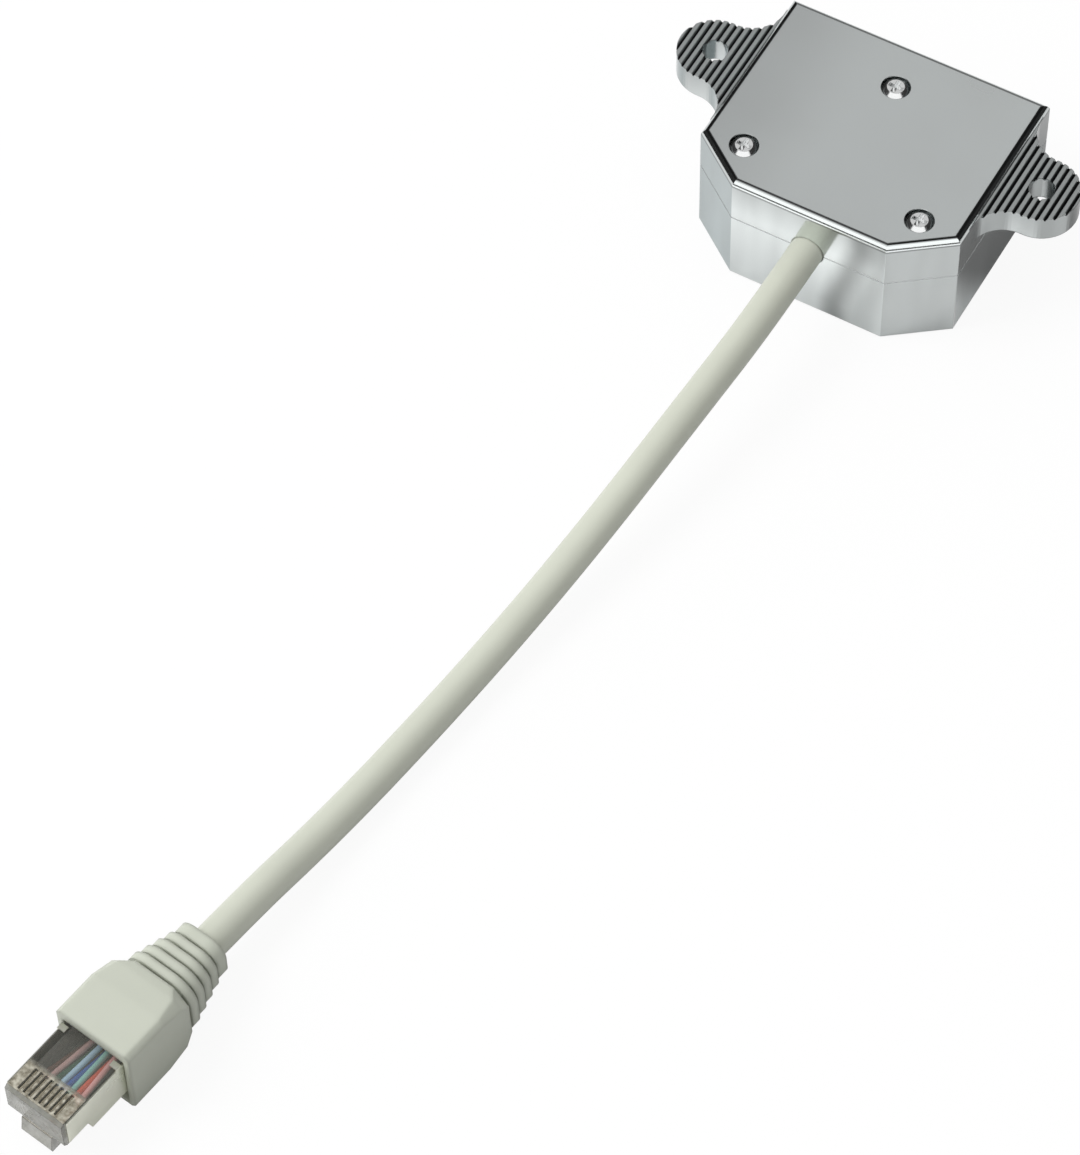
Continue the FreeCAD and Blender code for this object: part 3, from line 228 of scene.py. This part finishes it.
# Floor, sky and lamp
FLOOR_REACH = 6
FLOOR_DROP = 0.0001
FLOOR_WHITE = (0.95, 0.95, 0.95)
FLOOR_GREY = (0.5, 0.5, 0.5)
FLOOR_GLOW = 0.92
PANEL_X = (-0.52, 0.86)
PANEL_Y = (-1.2, -0.06)
PANEL_Z = (0.30, 1.2)
BACK_X = (-0.46, -0.03)
BACK_Y = (0.22, 1.2)
BACK_Z = (0.12, 1.2)
PANEL_SOFT = 0.03
BACK_SOFT = 0.04
BACK_LIGHT = 0.6
DARK_LIGHT = 0.03
PLAIN_X = (-0.9, 0.9)
PLAIN_LIGHT = (1.05, 0.36)
LAMP_PLACE = (-0.7, -0.5, 1.1)
LAMP_TARGET = (-0.01, -0.08, 0.0)
LAMP_SIZE = 0.7
LAMP_POWER = 9


def camera_axes():
    """Directions to the camera's right, up and back, with the photograph's roll."""
    azimuth = math.radians(CAMERA_AZIMUTH)
    elevation = math.radians(CAMERA_ELEVATION)
    roll = math.radians(CAMERA_ROLL)
    level = math.cos(elevation)
    back = Vector((math.sin(azimuth) * level, -math.cos(azimuth) * level, math.sin(elevation)))
    right = Vector((0, 0, 1)).cross(back).normalized()
    up = back.cross(right)
    turned_right = math.cos(roll) * right + math.sin(roll) * up
    turned_up = math.cos(roll) * up - math.sin(roll) * right
    return turned_right, turned_up, back


def make_camera():
    data = bpy.data.cameras.new("camera")
    data.sensor_fit = "HORIZONTAL"
    data.sensor_width = CAMERA_SENSOR_MM
    data.lens = CAMERA_LENS_MM
    data.clip_start = CAMERA_NEAR
    data.clip_end = CAMERA_FAR
    camera = bpy.data.objects.new("camera", data)
    bpy.context.scene.collection.objects.link(camera)
    right, up, back = camera_axes()
    turn = Matrix((right, up, back)).transposed().to_4x4()
    camera.matrix_world = Matrix.Translation(Vector(CAMERA_PLACE_MM) * MM) @ turn
    bpy.context.scene.camera = camera


# Materials

class NodeTree:
    """Short calls for the nodes that the finishes and the sky need."""

    def __init__(self, tree, surface):
        self.tree = tree
        self.surface = surface

    def node(self, kind, **settings):
        node = self.tree.nodes.new(kind)
        for name, value in settings.items():
            setattr(node, name, value)
        return node

    def link(self, source, target):
        self.tree.links.new(source, target)

    def span(self, value, low, high, new_low=0.0, new_high=1.0, smooth=False):
        """Map a value from one span to another."""
        kind = "SMOOTHSTEP" if smooth else "LINEAR"
        span = self.node("ShaderNodeMapRange", interpolation_type=kind)
        self.link(value, span.inputs["Value"])
        numbers = {"From Min": low, "From Max": high, "To Min": new_low, "To Max": new_high}
        for name, number in numbers.items():
            span.inputs[name].default_value = number
        return span.outputs["Result"]

    def mix_values(self, factor, first, second):
        """Mix two values, either of them a plain number."""
        mix = self.node("ShaderNodeMix", data_type="FLOAT")
        self.link(factor, mix.inputs["Factor"])
        for index, value in ((2, first), (3, second)):
            if isinstance(value, float):
                mix.inputs[index].default_value = value
            else:
                self.link(value, mix.inputs[index])
        return mix.outputs[0]

    def sum(self, kind, first, second):
        """Arithmetic on two values, either of them a plain number."""
        node = self.node("ShaderNodeMath", operation=kind)
        for index, value in enumerate((first, second)):
            if isinstance(value, (int, float)):
                node.inputs[index].default_value = value
            else:
                self.link(value, node.inputs[index])
        return node.outputs["Value"]

    def size_of(self, value):
        """The value without its sign."""
        return self.sum("ABSOLUTE", value, 0.0)

    def other_than(self, value):
        """One where the value is nought, nought where it is one."""
        return self.sum("SUBTRACT", 1.0, value)

    def both(self, *values):
        """Product of several values."""
        product = values[0]
        for value in values[1:]:
            product = self.sum("MULTIPLY", product, value)
        return product


class Shader(NodeTree):
    """A material's node tree with what the finishes need."""

    def __init__(self, name):
        self.material = bpy.data.materials.new(name)
        self.material.use_nodes = True
        tree = self.material.node_tree
        super().__init__(tree, tree.nodes["Principled BSDF"])
        self.output = tree.nodes["Material Output"]

    def set(self, **sockets):
        for name, value in sockets.items():
            self.surface.inputs[name.replace("_", " ")].default_value = value

    def coordinates(self):
        return self.node("ShaderNodeTexCoord").outputs["Object"]

    def noise(self, scale, detail=2, vector=None):
        noise = self.node("ShaderNodeTexNoise")
        noise.inputs["Scale"].default_value = scale
        noise.inputs["Detail"].default_value = detail
        self.link(vector or self.coordinates(), noise.inputs["Vector"])
        return noise.outputs["Fac"]

    def stretched(self, scale):
        """Object coordinates scaled along each axis."""
        mapping = self.node("ShaderNodeMapping")
        mapping.inputs["Scale"].default_value = scale
        self.link(self.coordinates(), mapping.inputs["Vector"])
        return mapping.outputs["Vector"]

    def line(self, value, rise, end):
        """One between a rising and a falling edge of the value."""
        return self.both(self.span(value, *rise), self.span(value, *end))

    def blend(self, factor, first, second):
        """Mix two colours, each a colour or a socket."""
        mix = self.node("ShaderNodeMix", data_type="RGBA")
        self.link(factor, mix.inputs["Factor"])
        for socket, value in ((mix.inputs[6], first), (mix.inputs[7], second)):
            if isinstance(value, tuple):
                socket.default_value = (*value, 1)
            else:
                self.link(value, socket)
        return mix.outputs[2]

    def bump(self, height, strength, distance, normal):
        bump = self.node("ShaderNodeBump")
        bump.inputs["Strength"].default_value = strength
        bump.inputs["Distance"].default_value = distance
        self.link(height, bump.inputs["Height"])
        self.link(normal, bump.inputs["Normal"])
        return bump.outputs["Normal"]

    def soft_edges(self, radius):
        """Rounded look of sharp edges, with a radius that is a number or a socket."""
        bevel = self.node("ShaderNodeBevel", samples=BEVEL_SAMPLES)
        if isinstance(radius, float):
            bevel.inputs["Radius"].default_value = radius
        else:
            self.link(radius, bevel.inputs["Radius"])
        return bevel.outputs["Normal"]

    def outline(self, geometry, radius):
        """One along sharp edges, nought on open faces."""
        turn = self.node("ShaderNodeVectorMath", operation="DOT_PRODUCT")
        self.link(self.soft_edges(radius), turn.inputs[0])
        self.link(geometry.outputs["True Normal"], turn.inputs[1])
        return self.span(turn.outputs["Value"], *OUTLINE_TURN)

    def split(self, vector):
        """The three parts of a vector."""
        parts = self.node("ShaderNodeSeparateXYZ")
        self.link(vector, parts.inputs[0])
        return [parts.outputs[name] for name in "XYZ"]

    def shade(self, colour, strength):
        """Colour times a value."""
        scale = self.node("ShaderNodeVectorMath", operation="SCALE")
        self.link(colour, scale.inputs[0])
        self.link(strength, scale.inputs["Scale"])
        return scale.outputs["Vector"]

    def colour_with(self, colour):
        self.link(colour, self.surface.inputs["Base Color"])

    def roughen_with(self, rough):
        self.link(rough, self.surface.inputs["Roughness"])

    def wear_normal(self, normal):
        self.link(normal, self.surface.inputs["Normal"])


def front_wall_light(shader, x, z):
    """Bright, more so to the right, less at foot and head, with a slanting dark band."""
    from_band = shader.sum("SUBTRACT", x, shader.span(z, *BAND_Z, *BAND_X))
    band = shader.span(
        shader.size_of(from_band), 0.0, BAND_HALF_WIDTH, BAND_DARKNESS, 0.0, smooth=True)
    light = shader.sum("SUBTRACT", shader.span(x, *FRONT_X, *FRONT_LIGHT), band)
    light = shader.both(light, shader.span(z, *FRONT_FOOT_Z, FRONT_END_LIGHT, 1.0))
    return shader.both(light, shader.span(z, *FRONT_HEAD_Z, 1.0, FRONT_END_LIGHT))


def right_wall_light(shader, y, z):
    """Bright at the low front corner, dark upward and towards the back."""
    behind_corner = shader.sum("ADD", y, -RIGHT_CORNER_Y)
    from_corner = shader.sum("ADD", z, shader.both(behind_corner, RIGHT_SLANT))
    return shader.span(from_corner, *RIGHT_REACH, *RIGHT_LIGHT, smooth=True)


def with_rim(shader, light, rim, facing):
    """Rounded rim of the top: a painted white reflection along its middle at the front, between two
    painted dark lines.
    """
    facing_x, facing_y, facing_z = facing
    shine = shader.both(
        rim, shader.line(facing_z, SHINE_RISE, SHINE_END),
        shader.span(facing_y, *SHINE_TO_FRONT), shader.span(facing_x, *SHINE_OFF_LEFT))
    low_line = shader.both(rim, shader.line(facing_z, LOW_LINE_RISE, LOW_LINE_END))
    high_line = shader.both(rim, shader.line(facing_z, HIGH_LINE_RISE, HIGH_LINE_END))
    lines = shader.sum(
        "ADD", shader.both(low_line, LOW_LINE_DARKNESS),
        shader.both(high_line, HIGH_LINE_DARKNESS))
    light = shader.mix_values(shine, light, SHINE_LIGHT)
    return shader.both(light, shader.other_than(lines))


def plating():
    """Bright plated casting: satin top, walls with soft painted streaks of light, painted shade in
    the grooves of the ears.

    The shades of the walls and of the rim are painted by place and direction. They stand for
    reflections in the photograph and don't follow the camera.
    """
    shader = Shader("plating")
    geometry = shader.node("ShaderNodeNewGeometry")
    x, y, z = shader.split(shader.coordinates())
    facing = shader.split(geometry.outputs["True Normal"])
    facing_x, facing_y, facing_z = facing
    from_middle = shader.size_of(x)
    flat = shader.span(facing_z, *FLAT)
    top = shader.span(z, *TOP_FACE_Z)
    satin = shader.both(flat, top)
    ears = shader.both(flat, shader.other_than(top))
    upright = shader.span(shader.size_of(facing_z), *UPRIGHT)
    front = shader.both(upright, shader.span(facing_y, *TO_FRONT))
    right = shader.both(upright, shader.span(facing_x, *TO_RIGHT))
    left = shader.both(upright, shader.span(facing_x, *TO_LEFT))

    cloud = shader.noise(PLATING_CLOUDS, 3)
    rough = shader.span(cloud, *NOISE_MIDDLE, *PLATING_ROUGH)
    rough = shader.sum("ADD", rough, shader.both(satin, TOP_ADDED_ROUGH))
    rough = shader.sum("ADD", rough, shader.both(ears, EAR_ADDED_ROUGH))
    shader.roughen_with(rough)
    shader.set(Metallic=1.0)

    # Painted light: soft upright streaks of reflection on the walls
    streaks = shader.noise(STREAK_SCALE, 2, shader.stretched(STREAK_STRETCH))
    streaks = shader.span(streaks, *STREAK_MIDDLE, *STREAK_LIGHT)
    wall_light = shader.mix_values(front, OTHER_WALL_LIGHT, front_wall_light(shader, x, z))
    wall_light = shader.mix_values(right, wall_light, right_wall_light(shader, y, z))
    wall_light = shader.both(
        wall_light, streaks, shader.mix_values(left, 1.0, LEFT_CHAMFER_LIGHT),
        shader.span(from_middle, *EAR_RIM_X, 1.0, EAR_RIM_LIGHT))
    top_light = shader.span(x, *TOP_LIGHT_X, *TOP_LIGHT, smooth=True)
    level_light = shader.mix_values(satin, EAR_TOP_LIGHT, top_light)
    light = shader.mix_values(upright, level_light, wall_light)
    outside = shader.sum("GREATER_THAN", from_middle, HOUSING_SIDE_X)
    rim = shader.both(shader.span(z, *RIM_Z), shader.other_than(outside))
    light = with_rim(shader, light, rim, facing)

    metal = shader.blend(cloud, PLATING_DARKER, PLATING_LIGHTER)
    # Painted reflection: the left chamfer takes a blue-grey tint
    metal = shader.blend(left, metal, PAINTED_LEFT_REFLECTION)
    groove = shader.line(z, GROOVE_TOP_Z, GROOVE_BOTTOM_Z)
    sloping = shader.both(
        shader.sum("LESS_THAN", facing_z, GROOVE_FLATTEST),
        shader.sum("GREATER_THAN", facing_z, GROOVE_STEEPEST))
    # Painted shade: the sloping faces of the ears' grooves are coloured dark
    groove_shade_mask = shader.both(groove, outside, sloping)
    shader.colour_with(shader.blend(groove_shade_mask, shader.shade(metal, light), PAINTED_GROOVE_SHADE))

    edges = shader.soft_edges(shader.span(facing_z, *EDGE_RADIUS_FACING, *EDGE_RADIUS))
    speckle = shader.bump(shader.noise(SPECKLE_SCALE), SPECKLE_STRENGTH, SPECKLE_DEPTH, edges)
    ear_grain = shader.both(shader.noise(EAR_GRAIN_SCALE, 3), ears)
    shader.wear_normal(shader.bump(ear_grain, EAR_GRAIN_STRENGTH, EAR_GRAIN_DEPTH, speckle))
    return shader.material


def bright_metal(name, colour, rough, grain_scale=METAL_GRAIN):
    """Sheet or turned metal: faint clouds in its colour and gloss, and a fine grain."""
    shader = Shader(name)
    shader.set(Metallic=1.0)
    cloud = shader.noise(grain_scale / METAL_CLOUD_SHARE, 3)
    shader.colour_with(shader.blend(cloud, tuple(METAL_DARKER * c for c in colour), colour))
    smoothest, roughest = (rough * share for share in METAL_ROUGH_SPAN)
    shader.roughen_with(shader.span(cloud, *NOISE_MIDDLE, smoothest, roughest))
    grain = shader.noise(grain_scale)
    edges = shader.soft_edges(METAL_EDGE)
    shader.wear_normal(shader.bump(grain, METAL_GRAIN_STRENGTH, METAL_GRAIN_DEPTH, edges))
    return shader.material


def moulded(name, colour, rough, grain=0.15, edge=0.0002):
    """Moulded plastic: faint clouds in its colour and a fine grain."""
    shader = Shader(name)
    darker = tuple(c * (1 - MOULDED_VARIATION) for c in colour)
    lighter = tuple(min(1.0, c * (1 + MOULDED_VARIATION)) for c in colour)
    shader.colour_with(shader.blend(shader.noise(MOULDED_CLOUDS, 4), darker, lighter))
    smoothest, roughest = (rough * share for share in MOULDED_ROUGH_SPAN)
    shader.roughen_with(
        shader.span(shader.noise(MOULDED_ROUGH_CLOUDS), *NOISE_MIDDLE, smoothest, roughest))
    fine_grain = shader.noise(MOULDED_GRAIN_SCALE)
    shader.wear_normal(shader.bump(fine_grain, grain, MOULDED_GRAIN_DEPTH, shader.soft_edges(edge)))
    return shader.material


def clear_plastic():
    """Clear moulding: open over the wires, milky at the nose and ends, with painted glints and
    painted dark outlines along its edges.
    """
    shader = Shader("clear_plastic")
    geometry = shader.node("ShaderNodeNewGeometry")
    x, y, _z = shader.split(shader.coordinates())
    yaw = math.radians(PLUG_YAW)
    nose_x, nose_y = (place * MM for place in PLUG_NOSE_MM)
    across = shader.both(shader.sum("SUBTRACT", x, nose_x), -math.sin(yaw))
    along = shader.both(shader.sum("SUBTRACT", y, nose_y), math.cos(yaw))
    behind_nose = shader.sum("ADD", across, along)
    facing_z = shader.split(geometry.outputs["True Normal"])[2]
    flat = shader.span(shader.size_of(facing_z), *CLEAR_FLAT)
    nose = shader.both(
        shader.span(facing_z, *CLEAR_FLAT), shader.span(behind_nose, *CLEAR_NOSE_DEPTH))
    outline = shader.outline(geometry, CLEAR_OUTLINE_RADIUS)
    # Painted glints: a speckle of light and dark in the nose's colour and in the alpha
    glints = shader.span(shader.noise(GLINT_SCALE), *GLINT_MIDDLE)

    ends_alpha = shader.mix_values(glints, *CLEAR_END_ALPHA)
    alpha = shader.mix_values(flat, ends_alpha, CLEAR_FLAT_ALPHA)
    alpha = shader.mix_values(nose, alpha, shader.mix_values(glints, *CLEAR_NOSE_ALPHA))
    alpha = shader.mix_values(outline, alpha, CLEAR_OUTLINE_ALPHA)
    shader.link(alpha, shader.surface.inputs["Alpha"])
    grey = shader.blend(shader.noise(CLEAR_CLOUDS), CLEAR_DARKER, CLEAR_LIGHTER)
    grey = shader.blend(nose, grey, shader.blend(glints, NOSE_DARKER, NOSE_LIGHTER))
    # Painted shade: dark outlines along the sharp edges
    shader.colour_with(shader.blend(outline, grey, PAINTED_OUTLINE_SHADE))
    shader.set(Roughness=CLEAR_ROUGH, IOR=CLEAR_IOR)
    ripple = shader.noise(CLEAR_RIPPLE_SCALE)
    edges = shader.soft_edges(CLEAR_EDGE)
    shader.wear_normal(shader.bump(ripple, CLEAR_RIPPLE_STRENGTH, CLEAR_RIPPLE_DEPTH, edges))
    return shader.material


def dress(node, material):
    nodes[node].data.materials.clear()
    nodes[node].data.materials.append(material)


def dress_nodes():
    shell = plating()
    dress("upper_shell", shell)
    dress("lower_shell", shell)
    dress("case_screws", bright_metal("screw_steel", SCREW_STEEL, 0.19, grain_scale=1100))
    dress("circuit_board", moulded("board_laminate", BOARD_GREEN, 0.35))
    sheet = bright_metal("jack_sheet", NICKEL, 0.24)
    insert = moulded("jack_plastic", JACK_BLACK, 0.4)
    gold = bright_metal("contact_gold", GOLD, 0.2)
    for side in ("left", "right"):
        dress(f"jack_shield_{side}", sheet)
        dress(f"jack_body_{side}", insert)
        dress(f"jack_contacts_{side}", gold)
    dress("cable_ferrule", bright_metal("ferrule_metal", STEEL, 0.3))
    dress("board_wires", moulded("wire_ends", WIRE_END_GREY, 0.4))
    clear = clear_plastic()
    dress("plug_body", clear)
    dress("plug_latch", clear)
    dress("plug_shield", bright_metal("plug_sheet", PLUG_SHEET, 0.34))
    dress("plug_contacts", bright_metal("blade_gold", BLADE_GOLD, 0.4))
    dress("plug_boot", moulded("boot_plastic", BOOT_BEIGE, 0.48, edge=0.0012))
    for way, (name, colour) in enumerate(WIRE_COLOURS, start=1):
        dress(f"plug_wire_{way}", moulded(name, colour, 0.35))


# Cable

def make_cable():
    data = bpy.data.curves.new("cable_jacket", "CURVE")
    data.dimensions = "3D"
    data.bevel_depth = CABLE_DIAMETER / 2 * MM
    data.bevel_resolution = CABLE_ROUND_STEPS
    data.use_fill_caps = True
    data.resolution_u = CABLE_STEPS
    spline = data.splines.new("NURBS")
    spline.points.add(len(CABLE_ROUTE_MM) - 1)
    for point, place in zip(spline.points, CABLE_ROUTE_MM):
        point.co = (*(Vector(place) * MM), 1)
    spline.order_u = CABLE_ORDER
    spline.use_endpoint_u = True
    cable = bpy.data.objects.new("cable_jacket", data)
    bpy.context.scene.collection.objects.link(cable)
    data.materials.append(moulded("cable_plastic", CABLE_BEIGE, 0.42, grain=0.1, edge=0.00005))
    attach(cable, "splitter")
    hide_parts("cable")


# Floor, world and lamp

def make_floor():
    """White floor that shows as white to the camera and gives less light back to the part."""
    mesh = bpy.data.meshes.new("floor")
    corners = [
        (-FLOOR_REACH, -FLOOR_REACH, 0), (FLOOR_REACH, -FLOOR_REACH, 0),
        (FLOOR_REACH, FLOOR_REACH, 0), (-FLOOR_REACH, FLOOR_REACH, 0)]
    mesh.from_pydata(corners, [], [(0, 1, 2, 3)])
    floor = bpy.data.objects.new("floor", mesh)
    floor.location.z = -FLOOR_DROP
    bpy.context.scene.collection.objects.link(floor)
    shader = Shader("floor_white")
    shader.set(Roughness=1.0, Specular_IOR_Level=0.0)
    path = shader.node("ShaderNodeLightPath")
    shader.colour_with(shader.blend(path.outputs["Is Diffuse Ray"], FLOOR_WHITE, FLOOR_GREY))
    white = shader.node("ShaderNodeEmission")
    white.inputs["Strength"].default_value = 1.0
    mix = shader.node("ShaderNodeMixShader")
    seen = shader.sum("MAXIMUM", path.outputs["Is Camera Ray"], path.outputs["Is Transmission Ray"])
    shader.link(shader.both(seen, FLOOR_GLOW), mix.inputs["Fac"])
    shader.link(shader.surface.outputs["BSDF"], mix.inputs[1])
    shader.link(white.outputs["Emission"], mix.inputs[2])
    shader.link(mix.outputs["Shader"], shader.output.inputs["Surface"])
    mesh.materials.append(shader.material)


def make_world():
    """White light, less from the right; metal mirrors a white front panel and a grey back."""
    world = bpy.data.worlds.new("studio")
    world.use_nodes = True
    bpy.context.scene.world = world
    sky = NodeTree(world.node_tree, world.node_tree.nodes["Background"])
    way = sky.node("ShaderNodeSeparateXYZ")
    sky.link(sky.node("ShaderNodeTexCoord").outputs["Generated"], way.inputs[0])
    x, y, z = (way.outputs[name] for name in "XYZ")

    def inside(value, low, high, soft=PANEL_SOFT):
        rise = sky.span(value, low - soft, low + soft, smooth=True)
        fall = sky.span(value, high - soft, high + soft, 1.0, 0.0, smooth=True)
        return sky.both(rise, fall)

    panel = sky.both(inside(x, *PANEL_X), inside(y, *PANEL_Y), inside(z, *PANEL_Z))
    back = sky.both(
        inside(x, *BACK_X, BACK_SOFT), inside(y, *BACK_Y, BACK_SOFT), inside(z, *BACK_Z))
    studio = sky.sum("ADD", panel, sky.both(back, BACK_LIGHT))
    studio = sky.sum("ADD", studio, DARK_LIGHT)
    path = sky.node("ShaderNodeLightPath")
    glossy = path.outputs["Is Glossy Ray"]
    seen = sky.sum("MAXIMUM", path.outputs["Is Camera Ray"], path.outputs["Is Transmission Ray"])
    plain = sky.mix_values(seen, sky.span(x, *PLAIN_X, *PLAIN_LIGHT), 1.0)
    sky.link(sky.mix_values(glossy, plain, studio), sky.surface.inputs["Strength"])
    sky.surface.inputs["Color"].default_value = (1, 1, 1, 1)


def make_lamp():
    data = bpy.data.lights.new("key", "AREA")
    data.shape = "DISK"
    data.size = LAMP_SIZE
    data.energy = LAMP_POWER
    lamp = bpy.data.objects.new("key", data)
    bpy.context.scene.collection.objects.link(lamp)
    lamp.location = LAMP_PLACE
    aim = Vector(LAMP_TARGET) - Vector(LAMP_PLACE)
    lamp.rotation_euler = aim.to_track_quat("-Z", "Y").to_euler()
    lamp.visible_glossy = False
    lamp.visible_transmission = False


make_camera()
make_cable()
dress_nodes()
make_floor()
make_world()
make_lamp()

bpy.context.scene.view_settings.view_transform = "Standard"
